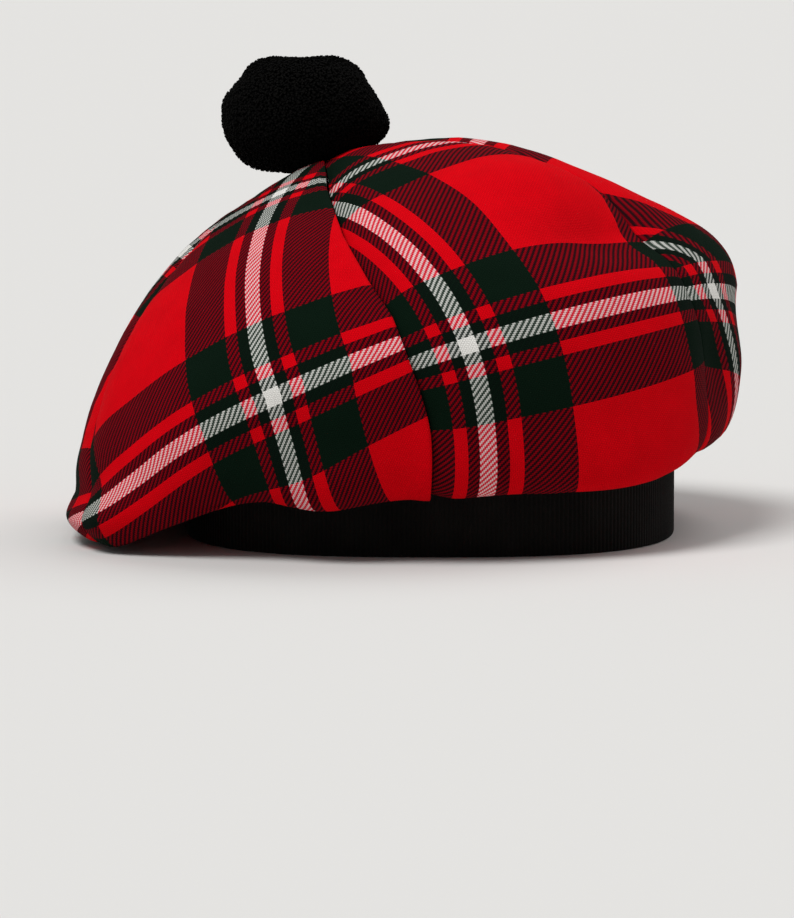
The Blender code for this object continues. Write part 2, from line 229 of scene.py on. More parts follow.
# %% Folds and seams
FOLDS = np.array((
    # azimuth, spread in degrees, place down the cloth, length, depth as a share of the radius
    (48, 16, 0.80, 0.10, 0.062),
    (40, 14, 0.60, 0.12, -0.030),
    (95, 17, 0.90, 0.15, -0.039),
    (92, 22, 0.55, 0.17, 0.034),
    (64, 7, 1.45, 0.25, 0.030),
    (-35, 9, 1.95, 0.26, 0.030),
    (-19, 8, 1.85, 0.28, -0.030),
    (-80, 14, 0.75, 0.20, 0.022),
    (4, 6, 1.80, 0.22, -0.015),
    (135, 10, 1.20, 0.35, 0.028),
    (-165, 12, 0.75, 0.25, 0.022),
    (85, 50, 0.34, 0.20, -0.008),
    (88, 25, 1.30, 0.26, 0.014),
    (84, 12, 2.02, 0.09, 0.022),
    (-85, 40, 0.38, 0.22, -0.020),
))
FRONT_SEAM = 3
# place down the cloth, degrees that the front seam wanders
FRONT_SEAM_DRIFT = np.array(((0, 0), (0.35, -3.8), (0.58, -3.2), (0.74, -1.6), (0.88, 0), (3, 0)))
LAP_HEIGHT = 1.3 * MM
LAP_WIDTH = 7 * MM
WRINKLE_HEIGHT = 0.9 * MM
WRINKLE_SIZE = 45 * MM
FINE_WRINKLE_SIZE = WRINKLE_SIZE / 3
FINE_WRINKLE_SHARE = 0.4
SEAM_SOFT_DEPTH = 1.6 * MM
SEAM_SOFT_WIDTH = 9 * MM
SEAM_CREASE_DEPTH = 0.9 * MM
SEAM_CREASE_WIDTH = 1.6 * MM
PUCKER_HEIGHT = 0.35 * MM
PUCKER_LENGTH = 11 * MM
# places down the cloth between which folds fade out, seams fade in and seams grow shallower
FADE_AT_BAND = (2.0, 2.8)
FADE_AT_CENTRE = (0.0, 0.25)
SEAMS_SHALLOWER = (0.8, 1.4)
UNDER_SEAM_SHARE = 0.3
print("folds:", len(FOLDS))


# %% A line of cloth
DOME_KNOTS = 9
# places down the cloth: belly, hem, halfway under, headband's rim and the seam inside it
LOWER_PLACES = (1.5, 2.0, 2.5, 2.85, 3.0)
UNDER_SHARE = 0.45
RIM_REACH, RIM_RISE = 1.8 * MM, 0.18 * MM
SEAT_OVERLAP_SHARE = 0.75


def section(azimuth):
    """The section table's columns at any azimuth, on a smooth closed curve."""
    angles = SECTIONS[:, 0]
    wrapped = (azimuth - angles[0]) % 360 + angles[0]
    index = int(np.searchsorted(angles, wrapped, side="right") - 1)
    count = len(angles)
    knots = []
    for offset in (-1, 0, 1, 2):
        turns, place = divmod(index + offset, count)
        knots.append((angles[place] + 360 * turns, SECTIONS[place, 1:]))
    (a0, p0), (a1, p1), (a2, p2), (a3, p3) = knots
    span = a2 - a1
    t = (wrapped - a1) / span
    values = ((2 * t**3 - 3 * t**2 + 1) * p1
              + (t**3 - 2 * t**2 + t) * span * (p2 - p0) / (a2 - a0)
              + (3 * t**2 - 2 * t**3) * p2 + (t**3 - t**2) * span * (p3 - p1) / (a3 - a1))
    return dict(zip(SECTION_COLUMNS[1:], values))


def outward(azimuth):
    angle = math.radians(azimuth)
    return np.array((math.sin(angle), -math.cos(angle), 0.0))


def band_plan(azimuth):
    """Distance from the band's middle to its outline, which is squarer than a circle."""
    side, front = np.abs(outward(azimuth))[:2]
    return BAND_HALF_WIDTH * (side**BAND_SQUARENESS + front**BAND_SQUARENESS)**(-1 / BAND_SQUARENESS)


def crown_axis():
    axis = np.array((-math.tan(LEAN_LEFT), math.tan(LEAN_BACK), 1.0))
    return axis / np.linalg.norm(axis)


def dome_points(azimuth, row, shares):
    """Points of the leaning dome, from its centre (share 0) to the widest line (share 1)."""
    axis = crown_axis()
    level = outward(azimuth)
    level[2] = -np.dot(axis[:2], level[:2]) / axis[2]
    level /= np.linalg.norm(level)
    angles = shares * math.pi / 2
    power = 2 / row["fullness"]
    reach = CROWN_RADIUS * row["rim_reach"] * np.sin(angles)**power
    rise = DOME_HEIGHT * np.clip(np.cos(angles), 0, 1)**power
    lift = DOME_HEIGHT * row["rim_lift"] * shares**2
    return RIM_CENTRE + np.outer(reach, level) + np.outer(rise, axis) + np.outer(lift, (0, 0, 1))


def cloth_line(azimuth, places):
    """Points down one line of cloth, before folds, by a smooth curve through its knots."""
    row = section(azimuth)
    plan = band_plan(azimuth)
    out = outward(azimuth)
    up = np.array((0.0, 0.0, 1.0))
    seat = BAND_HEIGHT + CLEARANCE
    hem_height = BAND_HEIGHT * row["hem_height"]
    hem_reach = plan + OVERHANG * row["hem_reach"]
    start = (CENTRE_HOLE / CROWN_RADIUS)**(row["fullness"] / 2) * 2 / math.pi
    shares = np.linspace(start, 1.0, DOME_KNOTS)
    knots = np.concatenate(((shares - start) / (1 - start), LOWER_PLACES))
    points = np.vstack((
        dome_points(azimuth, row, shares),
        CROWN_RADIUS * row["belly_reach"] * out + RIM_CENTRE[2] * row["belly_height"] * up,
        hem_reach * out + hem_height * up,
        (plan + UNDER_SHARE * (hem_reach - plan)) * out + (hem_height + seat) / 2 * up,
        (plan + RIM_REACH) * out + (seat + RIM_RISE) * up,
        (plan - SEAT_OVERLAP_SHARE * BAND_WALL) * out + seat * up,
    ))
    gaps = np.diff(points, axis=0)
    steps = np.linalg.norm(gaps, axis=1)[:, None]
    rates = gaps / steps
    slopes = np.vstack((rates[:1], (rates[:-1] * steps[1:] + rates[1:] * steps[:-1])
                        / (steps[:-1] + steps[1:]), rates[-1:]))
    index = np.clip(np.searchsorted(knots, places, side="right") - 1, 0, len(knots) - 2)
    t = ((places - knots[index]) / (knots[index + 1] - knots[index]))[:, None]
    return ((2 * t**3 - 3 * t**2 + 1) * points[index]
            + (t**3 - 2 * t**2 + t) * steps[index] * slopes[index]
            + (3 * t**2 - 2 * t**3) * points[index + 1]
            + (t**3 - t**2) * steps[index] * slopes[index + 1])


print("front line of cloth, widest point:", cloth_line(0, np.array((1.0,))).round(4))


# %% The surface of the crown
def grid_normals(grid):
    """Outward unit normals of a grid of points: rows go round the hat, columns down it."""
    down = np.gradient(grid, axis=1)
    around = np.gradient(grid, axis=0)
    normals = np.cross(down, around)
    return normals / np.linalg.norm(normals, axis=2, keepdims=True)


def seam_line(number, places):
    """Azimuth of a seam at each place; seam 0 is at the back and seam 3 in front."""
    even = np.full(len(places), -180.0 + GORE_TURN * number)
    if number == FRONT_SEAM:
        even += np.interp(places, FRONT_SEAM_DRIFT[:, 0], FRONT_SEAM_DRIFT[:, 1])
    return even


def smooth_grid(azimuths, places):
    """The crown before folds: lines of cloth one degree apart, and between them a share of each."""
    even = np.arange(math.floor(azimuths.min()), math.ceil(azimuths.max()) + 1.0)
    lines = np.array([cloth_line(azimuth, places) for azimuth in even])
    index = np.clip(np.floor(azimuths - even[0]).astype(int), 0, len(even) - 2)
    share = (azimuths - even[0] - index)[:, :, None]
    columns = np.arange(len(places))
    return (1 - share) * lines[index, columns] + share * lines[index + 1, columns]


def fold_depth(azimuths, places):
    """How far the table's folds pull the cloth in, for each azimuth and place."""
    depth = np.zeros(azimuths.shape)
    for azimuth, spread, down, length, amount in FOLDS:
        turn = (azimuths - azimuth + 180) % 360 - 180
        depth += CROWN_RADIUS * amount * np.exp(-(turn / spread)**2 - ((places - down) / length)**2)
    return depth


def wrinkle(point):
    """Soft unevenness of cloth, the same on every run."""
    broad = noise.noise(Vector(point) / WRINKLE_SIZE)
    fine = noise.noise(Vector(point) / FINE_WRINKLE_SIZE)
    return broad + FINE_WRINKLE_SHARE * fine


def crown_grid(number, shares, places):
    """Outer surface of one gore, with folds, the seams' valleys and soft wrinkles."""
    left, right = seam_line(number - 1, places), seam_line(number, places)
    azimuths = left + np.outer(shares, right - left)
    grid = smooth_grid(azimuths, places)
    normals = grid_normals(grid)
    off_band = np.interp(places, FADE_AT_BAND, (1, 0))
    off_centre = np.interp(places, FADE_AT_CENTRE, (0, 1))
    seam_share = np.interp(places, SEAMS_SHALLOWER, (1, UNDER_SEAM_SHARE))
    steps = np.linalg.norm(np.diff(grid, axis=0), axis=2)
    across = np.vstack((np.zeros(len(places)), np.cumsum(steps, axis=0)))
    from_left, from_right = across, across[-1] - across
    off_seam = np.minimum(from_left, from_right)
    seam = (SEAM_SOFT_DEPTH * np.exp(-(off_seam / SEAM_SOFT_WIDTH)**2)
            + SEAM_CREASE_DEPTH * np.exp(-(off_seam / SEAM_CREASE_WIDTH)**2))
    down = np.vstack([np.concatenate(([0], np.cumsum(np.linalg.norm(np.diff(line, axis=0), axis=1))))
                      for line in grid])
    pucker = (PUCKER_HEIGHT * np.sin(2 * math.pi * down / PUCKER_LENGTH)
              * np.exp(-(off_seam / SEAM_SOFT_WIDTH)**2) * (off_seam / SEAM_SOFT_WIDTH))
    wrinkles = WRINKLE_HEIGHT * np.array([[wrinkle(point) for point in line] for line in grid])
    depth = fold_depth(azimuths, places) - wrinkles * off_centre
    depth += (seam + pucker) * off_centre * seam_share
    if number == FRONT_SEAM:
        depth -= LAP_HEIGHT * np.exp(-(from_right / LAP_WIDTH)**2) * off_centre
    if number == FRONT_SEAM + 1:
        depth += LAP_HEIGHT * np.exp(-(from_left / LAP_WIDTH)**2) * off_centre
    return grid - (depth * off_band)[:, :, None] * normals


print("front seam, azimuth at the centre and the rim:", seam_line(FRONT_SEAM, np.array((0.0, 1.0))))

# %% [markdown]
# ## Six gores of cloth
# A gore is cut flat and only becomes round when it is sewn. So each one is made here as a
# thin sheet of quads over its sixth of the crown, and Blender's unwrap lays it flat again
# with as little stretch as it can. That flat piece is the cutting pattern: its UV map, in
# millimetres, carries the tartan as straight threads, and the seams cut across the checks
# just as scissors did. Solidify then gives the sheet its thickness, inwards.

# %% Gores
GORE_COLUMNS = 48
DOME_ROWS, SIDE_ROWS, UNDER_ROWS = 64, 26, 20
EDGE_CROWDING = 0.55
SEAM_GAP = 0.12 * MM
# Cloth shears as it is pulled round, so each gore's pattern has its own place. In degrees: how
# far its stripes, and its lines, turn. In millimetres: its white stripe right of the gore's
# middle, and its white line down from the crown's centre. Then the share of the pattern's
# width that is left right of that stripe, and how many millimetres the stripes are pulled to
# the left at each of the pull places, which are millimetres below the white line.
PULL_PLACES = (-55, -14, 0, 60)
TARTAN_PLACES = {
    1: (0, 0, 10, 183, 1.0, (0, 0, 0, 0)),
    2: (0, 0, 23, 183, 1.0, (0, 0, 0, 0)),
    3: (-7, -7, 1.3, 173.7, 1.0, (0, 0, 0, 17)),
    4: (1, 2.5, -44.1, 180.2, 0.9, (0, 0, 0, 0)),
    5: (-28, 4, -125.5, 183.8, 0.85, (17, -7, 0, 0)),
    6: (0, 0, 30, 183, 1.0, (0, 0, 0, 0)),
}


def sheet_object(name, grid):
    """A sheet of quads from a grid of points, faces outward."""
    columns, rows = grid.shape[:2]
    points = grid.reshape(-1, 3)
    faces = [(c * rows + r, c * rows + r + 1, (c + 1) * rows + r + 1, (c + 1) * rows + r)
             for c in range(columns - 1) for r in range(rows - 1)]
    mesh = bpy.data.meshes.new(name)
    mesh.from_pydata([tuple(point) for point in points], [], faces)
    mesh.shade_smooth()
    made = bpy.data.objects.new(name, mesh)
    bpy.context.scene.collection.objects.link(made)
    return made


def lay_flat(item, grid):
    """Unwraps a gore with least stretch and returns its flat points in metres, centre up."""
    select_only(item)
    item.data.uv_layers.new(name="cut")
    bpy.ops.object.mode_set(mode="EDIT")
    bpy.ops.mesh.select_all(action="SELECT")
    bpy.ops.uv.unwrap(method="CONFORMAL", margin=0.0)
    bpy.ops.uv.unwrap(method="MINIMUM_STRETCH", margin=0.0)
    bpy.ops.object.mode_set(mode="OBJECT")
    flat = np.zeros((len(item.data.vertices), 2))
    layer = item.data.uv_layers["cut"].data
    for loop, spot in zip(item.data.loops, layer):
        flat[loop.vertex_index] = spot.uv
    columns, rows = grid.shape[:2]
    flat = flat.reshape(columns, rows, 2)
    middle = columns // 2
    line = flat[middle, DOME_ROWS] - flat[middle, 0]
    true_length = np.linalg.norm(np.diff(grid[middle, :DOME_ROWS + 1], axis=0), axis=1).sum()
    flat = (flat - flat[middle, 0]) * true_length / np.linalg.norm(line)
    down = line / np.linalg.norm(line)
    right = np.array((-down[1], down[0]))
    if (flat[-1, DOME_ROWS] - flat[0, DOME_ROWS]) @ right < 0:
        right = -right
    return np.stack((flat @ right, flat @ down), axis=2)


def make_gore(number):
    """One gore as a thin shell, with its cutting pattern as a UV map in millimetres."""
    even = np.linspace(0, 1, GORE_COLUMNS + 1)
    crowded = 0.5 - 0.5 * np.cos(math.pi * even)
    shares = (1 - EDGE_CROWDING) * even + EDGE_CROWDING * crowded
    places = np.concatenate((np.linspace(0, 1, DOME_ROWS + 1), np.linspace(1, 2, SIDE_ROWS + 1)[1:],
                             np.linspace(2, 3, UNDER_ROWS + 1)[1:]))
    grid = crown_grid(number, shares, places)
    for edge, inward in ((0, 1), (-1, -2)):
        beside = grid[inward] - grid[edge]
        grid[edge] += SEAM_GAP / 2 * beside / np.linalg.norm(beside, axis=1)[:, None]
    gore = sheet_object(f"crown_gore_{number}", grid + band_middle)
    flat = lay_flat(gore, grid)
    stripe_turn, line_turn, stripe_right, line_down, right_share, pulls = TARTAN_PLACES[number]
    stripe_turn, line_turn = math.radians(stripe_turn), math.radians(line_turn)
    right, down = flat.reshape(-1, 2).T / MM
    from_line = math.cos(line_turn) * down - math.sin(line_turn) * right - line_down
    from_stripe = math.cos(stripe_turn) * right + math.sin(stripe_turn) * down - stripe_right
    from_stripe += np.interp(from_line, PULL_PLACES, pulls)
    from_stripe = np.where(from_stripe > 0, right_share * from_stripe, from_stripe)
    cut = np.stack((from_stripe, from_line), axis=1)
    layer = gore.data.uv_layers["cut"].data
    for loop, spot in zip(gore.data.loops, layer):
        spot.uv = cut[loop.vertex_index]
    wall = gore.modifiers.new("cloth_thickness", "SOLIDIFY")
    wall.thickness = CLOTH
    wall.offset = -1
    bpy.ops.object.modifier_apply(modifier=wall.name)
    return gore, flat


gores = []
for number in range(1, GORES + 1):
    gore, flat = make_gore(number)
    gores.append(gore)
    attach(gore, "root")
    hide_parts(f"crown_panel_{number}")

# %% [markdown]
# ## Worsted wool in a 2/2 twill
# Tartan is woven from dyed worsted yarn. The same order of colours, the sett, runs across in
# the warp and down in the weft. In a 2/2 twill each yarn passes over two and under two, one
# step along on every row, so solid checks show where a colour crosses itself and fine
# slanting lines where two colours cross. The shader does exactly that, thread by thread:
# it numbers the yarns from the cutting pattern, asks which one lies on top, and looks up the
# colour of that yarn in the sett, which is mirrored about its white stripe. Fulled wool is
# a little felted, so some of the yarn below always shows through the one on top. The two
# are mixed in tones that look evenly spaced. Where red crosses green, a share of the darker
# one is added, as its fibres hide the red; white yarn stays pale wherever it is crossed.

# %% The sett
THREAD = 0.635
WHITE, BLACK, RED, GREEN = "#eceae5", "#08130d", "#d6000f", "#08190f"
# threads, colour: from the middle of the white stripe to the middle of the red field
HALF_SETT = ((5, WHITE), (7, BLACK), (8, RED), (30, GREEN), (45, RED))
HALF_THREADS = sum(threads for threads, code in HALF_SETT)
STOPS_OF_NEW_RAMP = 2


def sett_color(tree, thread):
    """The dyed colour of a numbered thread."""
    middle = add_node(tree, "Math", {0: thread, 1: 0.5}, operation="ADD")
    folded = add_node(tree, "Math", {0: middle, 1: HALF_THREADS}, operation="PINGPONG")
    share = add_node(tree, "Math", {0: folded, 1: HALF_THREADS}, operation="DIVIDE")
    ramp = add_node(tree, "ValToRGB", {"Fac": share})
    stops = ramp.color_ramp.elements
    ramp.color_ramp.interpolation = "CONSTANT"
    start = 0
    for index, (threads, code) in enumerate(HALF_SETT):
        position = start / HALF_THREADS
        stop = stops[index] if index < STOPS_OF_NEW_RAMP else stops.new(position)
        stop.position = position
        stop.color = hex_color(code)
        start += threads
    return ramp


print("threads in a full sett:", 2 * HALF_THREADS)
print("sett in millimetres:", round(2 * HALF_THREADS * THREAD, 1))

# %% Yarns over and under
TWILL_REPEAT = 4.0
SHOW_THROUGH = 0.18
SUNKEN_SHARE = 0.36
EVEN_TONES = 2.2

tartan, weave, wool = new_material("worsted_twill_tartan")
cut_map = add_node(weave, "UVMap", uv_map="cut")
cut_point = add_node(weave, "SeparateXYZ", {0: cut_map})
across = add_node(weave, "Math", {0: cut_point.outputs["X"], 1: THREAD}, operation="DIVIDE")
along = add_node(weave, "Math", {0: cut_point.outputs["Y"], 1: THREAD}, operation="DIVIDE")
warp_thread = add_node(weave, "Math", {0: across}, operation="FLOOR")
weft_thread = add_node(weave, "Math", {0: along}, operation="FLOOR")
diagonal = add_node(weave, "Math", {0: warp_thread, 1: weft_thread}, operation="ADD")
step = add_node(weave, "Math", {0: diagonal, 1: TWILL_REPEAT}, operation="FLOORED_MODULO")
warp_on_top = add_node(weave, "Math", {0: step, 1: TWILL_REPEAT / 2 - 0.5}, operation="LESS_THAN")
warp_share = add_node(weave, "MapRange", {"Value": warp_on_top, "To Min": SHOW_THROUGH,
                                          "To Max": 1 - SHOW_THROUGH})
weft_tone = add_node(weave, "Gamma", {0: sett_color(weave, weft_thread), 1: 1 / EVEN_TONES})
warp_tone = add_node(weave, "Gamma", {0: sett_color(weave, warp_thread), 1: 1 / EVEN_TONES})
# a Mix of colours takes its share at input 0 and its two colours at 6 and 7
mixed = add_node(weave, "Mix", {0: warp_share, 6: weft_tone, 7: warp_tone}, data_type="RGBA")
darker = add_node(weave, "Mix", {0: 1.0, 6: weft_tone, 7: warp_tone},
                  data_type="RGBA", blend_type="DARKEN")
lighter = add_node(weave, "Mix", {0: 1.0, 6: weft_tone, 7: warp_tone},
                   data_type="RGBA", blend_type="LIGHTEN")
paleness = add_node(weave, "SeparateColor", {0: lighter}).outputs["Green"]
sunken_share = add_node(weave, "MapRange", {"Value": paleness, "To Min": SUNKEN_SHARE, "To Max": 0.0})
sunken = add_node(weave, "Mix", {0: sunken_share, 6: mixed, 7: darker}, data_type="RGBA")
woven = add_node(weave, "Gamma", {0: sunken, 1: EVEN_TONES})
print("yarn in millimetres:", THREAD, "yarns in a twill step:", TWILL_REPEAT)

# %% [markdown]
# ## Round yarn and fuzz
# Each yarn is round where it floats over two others, and dives at both ends of its float.
# Painted shade darkens the colour in the gaps between yarns and lightens it a little on their
# crowns. A fine fuzz of fibres and slow slubs, thicker places in hand-like yarn, make the tone uneven.
# The result is a matte cloth: its threads show as soft ridges and nothing on it shines.

# %% Relief of the cloth
FUZZ_PER_MM, SLUBS_PER_MM = 2.4, 0.09
FUZZ_RELIEF = 0.35
YARN_RELIEF = 0.2 * MM


def float_height(tree, side, lengthwise, other_thread, start):
    """Roundness of a yarn where it floats over two others: 1 on its crown, 0 at its edges."""
    beside = add_node(tree, "Math", {0: side, 1: 0.5}, operation="PINGPONG")
    widened = add_node(tree, "Math", {0: beside, 1: 2.0}, operation="MULTIPLY")
    round_side = add_node(tree, "Math", {0: widened, 1: 0.6}, operation="POWER")
    passed = add_node(tree, "Math", {0: lengthwise, 1: other_thread}, operation="ADD")
    travelled = add_node(tree, "Math", {0: passed, 1: TWILL_REPEAT}, operation="FLOORED_MODULO")
    off_middle = add_node(tree, "Math", {0: travelled, 1: start + 1.0}, operation="SUBTRACT")
    distance = add_node(tree, "Math", {0: off_middle}, operation="ABSOLUTE")
    dive = add_node(tree, "Math", {0: distance, 1: 4.0}, operation="POWER")
    ends = add_node(tree, "Math", {0: 1.0, 1: dive}, operation="SUBTRACT")
    rise = add_node(tree, "Math", {0: ends, 1: 0.0}, operation="MAXIMUM")
    return add_node(tree, "Math", {0: round_side, 1: rise}, operation="MULTIPLY")


warp_height = float_height(weave, across, along, warp_thread, 0.0)
weft_height = float_height(weave, along, across, weft_thread, TWILL_REPEAT / 2)
# a Mix of numbers takes its two numbers at inputs 2 and 3
yarn_height = add_node(weave, "Mix", {0: warp_on_top, 2: weft_height, 3: warp_height})
cloth_place = add_node(weave, "TexCoord").outputs["Object"]
fuzz = add_node(weave, "TexNoise", {"Vector": cloth_place, "Scale": FUZZ_PER_MM / MM, "Detail": 2.0,
                                    "Roughness": 0.6})
slub = add_node(weave, "TexNoise", {"Vector": cloth_place, "Scale": SLUBS_PER_MM / MM, "Detail": 3.0})
# painted shade: the colour is darkened where each yarn dives into the gaps between floats, and lightened a
# little on its crown
gap_shade = add_node(weave, "MapRange", {"Value": yarn_height, "To Min": 0.68, "To Max": 1.1})
fuzz_shade = add_node(weave, "MapRange", {"Value": fuzz, "From Min": 0.25, "From Max": 0.75,
                                          "To Min": 0.88, "To Max": 1.12})
slub_shade = add_node(weave, "MapRange", {"Value": slub, "From Min": 0.3, "From Max": 0.7,
                                          "To Min": 0.95, "To Max": 1.05})
fine_shade = add_node(weave, "Math", {0: gap_shade, 1: fuzz_shade}, operation="MULTIPLY")
shade = add_node(weave, "Math", {0: fine_shade, 1: slub_shade}, operation="MULTIPLY")
# the dyed colour times the painted gap shade and the uneven tone of fuzz and slubs
dyed_with_painted_gap_shade = add_node(weave, "Mix", {0: 1.0, 6: woven, 7: shade}, data_type="RGBA", blend_type="MULTIPLY")
raised_fuzz = add_node(weave, "Math", {0: fuzz, 1: FUZZ_RELIEF}, operation="MULTIPLY")
relief = add_node(weave, "Math", {0: yarn_height, 1: raised_fuzz}, operation="ADD")
ridges = add_node(weave, "Bump", {"Height": relief, "Distance": YARN_RELIEF, "Strength": 0.55})
weave.links.new(dyed_with_painted_gap_shade.outputs["Result"], wool.inputs["Base Color"])
weave.links.new(ridges.outputs["Normal"], wool.inputs["Normal"])
wool.inputs["Roughness"].default_value = 0.95
wool.inputs["Specular IOR Level"].default_value = 0.04
for gore in gores:
    gore.data.materials.append(tartan)
print("cloth finish:", tartan.name, "on gores:", len(gores))

# %% [markdown]
# ## The headband
# The band is a strip of black ribbed cloth, folded double and sewn into a ring. One rib is
# modelled from a cube: the two faces that meet the next ribs are deleted and its front is
# rounded. An Array repeats it to the band's length, and a Curve modifier bends the strip
# round the band's outline, which is a little squarer than a circle. Repeating one small
# piece keeps every rib the same width, as a knitting or weaving machine does.

# %% Headband
RIB_PITCH_TARGET = 1.75 * MM
RIB_RELIEF = 0.45 * MM
OUTLINE_STEPS = 360

outline = np.array([(band_plan(360 * i / OUTLINE_STEPS) - BAND_WALL / 2) * outward(360 * i / OUTLINE_STEPS)
                    for i in range(OUTLINE_STEPS)]) + band_middle
outline_length = np.linalg.norm(outline - np.roll(outline, 1, axis=0), axis=1).sum()
rib_count = round(outline_length / RIB_PITCH_TARGET)
rib_pitch = outline_length / rib_count

path_data = bpy.data.curves.new("band_outline", "CURVE")
path_data.dimensions = "3D"
spline = path_data.splines.new("POLY")
spline.points.add(OUTLINE_STEPS - 1)
for point, place in zip(spline.points, outline):
    point.co = (*place, 1.0)
spline.use_cyclic_u = True
path = bpy.data.objects.new("band_outline", path_data)
bpy.context.scene.collection.objects.link(path)

bpy.ops.object.select_all(action="DESELECT")
bpy.ops.mesh.primitive_cube_add(size=1.0)
ribbed_band = bpy.context.object
ribbed_band.name = "ribbed_band"
bpy.ops.transform.resize(value=(rib_pitch, BAND_WALL - RIB_RELIEF, BAND_HEIGHT))
bpy.ops.transform.translate(value=(rib_pitch / 2, RIB_RELIEF / 2, BAND_HEIGHT / 2))
bpy.ops.object.transform_apply(location=True, rotation=False, scale=True)


def select_faces(item, wanted):
    """Selects the faces whose middle and normal pass a test, in edit mode."""
    bpy.ops.mesh.select_all(action="DESELECT")
    mesh = bmesh.from_edit_mesh(item.data)
    mesh.normal_update()
    for face in mesh.faces:
        face.select_set(wanted(face.calc_center_median(), face.normal))
    bmesh.update_edit_mesh(item.data)


def select_edges(item, wanted):
    """Selects the edges whose two ends pass a test, in edit mode."""
    bpy.ops.mesh.select_all(action="DESELECT")
    mesh = bmesh.from_edit_mesh(item.data)
    for edge in mesh.edges:
        edge.select_set(wanted(edge.verts[0].co, edge.verts[1].co))
    bmesh.update_edit_mesh(item.data)


def select_points(item, wanted):
    """Selects the vertices whose place passes a test, in edit mode."""
    bpy.ops.mesh.select_all(action="DESELECT")
    mesh = bmesh.from_edit_mesh(item.data)
    for vertex in mesh.verts:
        vertex.select_set(wanted(vertex.co))
    bmesh.update_edit_mesh(item.data)


# %% One rib
FOLD_ROUNDING = 0.9 * MM
RIB_CUTS = 3
HEIGHT_CUTS = 5
front = -BAND_WALL / 2 + RIB_RELIEF

bpy.ops.object.mode_set(mode="EDIT")
bpy.ops.mesh.select_mode(type="FACE")
select_faces(ribbed_band, lambda middle, normal: abs(normal.x) > 0.5)
bpy.ops.mesh.delete(type="FACE")
bpy.ops.mesh.select_mode(type="EDGE")
select_edges(ribbed_band, lambda a, b: abs(a.x - b.x) > 0.5 * rib_pitch)
bpy.ops.mesh.bevel(offset=FOLD_ROUNDING, segments=3, affect="EDGES")
select_edges(ribbed_band, lambda a, b: abs(a.x - b.x) > 0.5 * rib_pitch)
bpy.ops.mesh.subdivide(number_cuts=RIB_CUTS)
select_edges(ribbed_band, lambda a, b: abs(a.z - b.z) > 0.5 * BAND_HEIGHT)
bpy.ops.mesh.subdivide(number_cuts=HEIGHT_CUTS)
bpy.ops.mesh.select_mode(type="VERT")
for cut in range(1, RIB_CUTS + 1):
    share = cut / (RIB_CUTS + 1)
    select_points(ribbed_band, lambda co: abs(co.x - share * rib_pitch) < 0.1 * rib_pitch
                  and co.y < front + FOLD_ROUNDING / 2)
    bpy.ops.transform.translate(value=(0, -RIB_RELIEF * math.sin(math.pi * share), 0))
bpy.ops.object.mode_set(mode="OBJECT")
print("ribs:", rib_count, "pitch in millimetres:", round(rib_pitch / MM, 3))

# %% Ribs round the band
select_only(ribbed_band)
repeat = ribbed_band.modifiers.new("ribs", "ARRAY")
repeat.count = rib_count
repeat.use_relative_offset = False
repeat.use_constant_offset = True
repeat.constant_offset_displace = (rib_pitch, 0, 0)
repeat.use_merge_vertices = True
repeat.merge_threshold = 0.01 * MM
bpy.ops.object.modifier_apply(modifier=repeat.name)
bend = ribbed_band.modifiers.new("round_the_band", "CURVE")
bend.object = path
bend.deform_axis = "POS_X"
bpy.ops.object.modifier_apply(modifier=bend.name)
bpy.data.objects.remove(path)
bpy.ops.object.mode_set(mode="EDIT")
bpy.ops.mesh.select_all(action="SELECT")
bpy.ops.mesh.remove_doubles(threshold=0.05 * MM)
bpy.ops.mesh.normals_make_consistent(inside=False)
bpy.ops.object.mode_set(mode="OBJECT")
ribbed_band.data.shade_smooth()
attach(ribbed_band, "root")
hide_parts("head_band")
print("band box in millimetres:", [round(side / MM, 1) for side in ribbed_band.dimensions])

# %% [markdown]
# ## Black ribbed velvet
# Velvet is cut pile: light that grazes the standing fibres comes back as a faint bloom at
# the edges of each rib, and light that falls straight in is swallowed. A nearly black
# colour, full roughness and a little sheen give that. A fine noise breaks the pile up.

# %% Velvet
velvet, tree, shader = new_material("cotton_velvet_black")
place = add_node(tree, "TexCoord").outputs["Object"]
pile = add_node(tree, "TexNoise", {"Vector": place, "Scale": 1600.0, "Detail": 3.0, "Roughness": 0.7})
worn = add_node(tree, "TexNoise", {"Vector": place, "Scale": 60.0, "Detail": 2.0})
tone = add_node(tree, "Math", {0: pile, 1: worn}, operation="MULTIPLY")
shades = add_node(tree, "ValToRGB", {"Fac": tone})
shades.color_ramp.elements[0].position = 0.1
shades.color_ramp.elements[0].color = hex_color("#060504")
shades.color_ramp.elements[1].position = 0.45
shades.color_ramp.elements[1].color = hex_color("#151311")
tree.links.new(shades.outputs["Color"], shader.inputs["Base Color"])
bump = add_node(tree, "Bump", {"Height": pile.outputs["Fac"], "Distance": 0.25 * MM, "Strength": 0.6})
tree.links.new(bump.outputs[0], shader.inputs["Normal"])
shader.inputs["Roughness"].default_value = 0.95
shader.inputs["Specular IOR Level"].default_value = 0.1
shader.inputs["Sheen Weight"].default_value = 0.06
ribbed_band.data.materials.append(velvet)
print("band finish:", velvet.name)

# %% [markdown]
# ## The toorie
# A toorie is a ball of yarn: hundreds of strands are bound in the middle and clipped round.
# What shows is a dense field of cut ends. A ball with a noisy surface would look like stone,
# so a real tuft is modelled once, from a cone, and thousands of copies stand over a core,
# each with its own small turn and length. All copies are joined into one mesh.

# %% Yarn core
POMPOM_RADIUS = 32.6 * MM
POMPOM_HALF_HEIGHT = 23.1 * MM
POMPOM_SEAT = 18.5 * MM
POMPOM_DROOP = 7.2 * MM
TUFT_HEIGHT = 2.6 * MM
UNEVENNESS = 0.9 * MM
UNEVEN_SIZE = 0.45
# degrees from the ball's right toward its top, spread in degrees, swell as a share of radius
LUMPS = (
    (-130, 26, 0.09), (-14, 18, 0.05), (19, 20, -0.13), (62, 16, 0.03),
    (94, 14, -0.06), (124, 15, 0.06), (148, 12, -0.05),
)

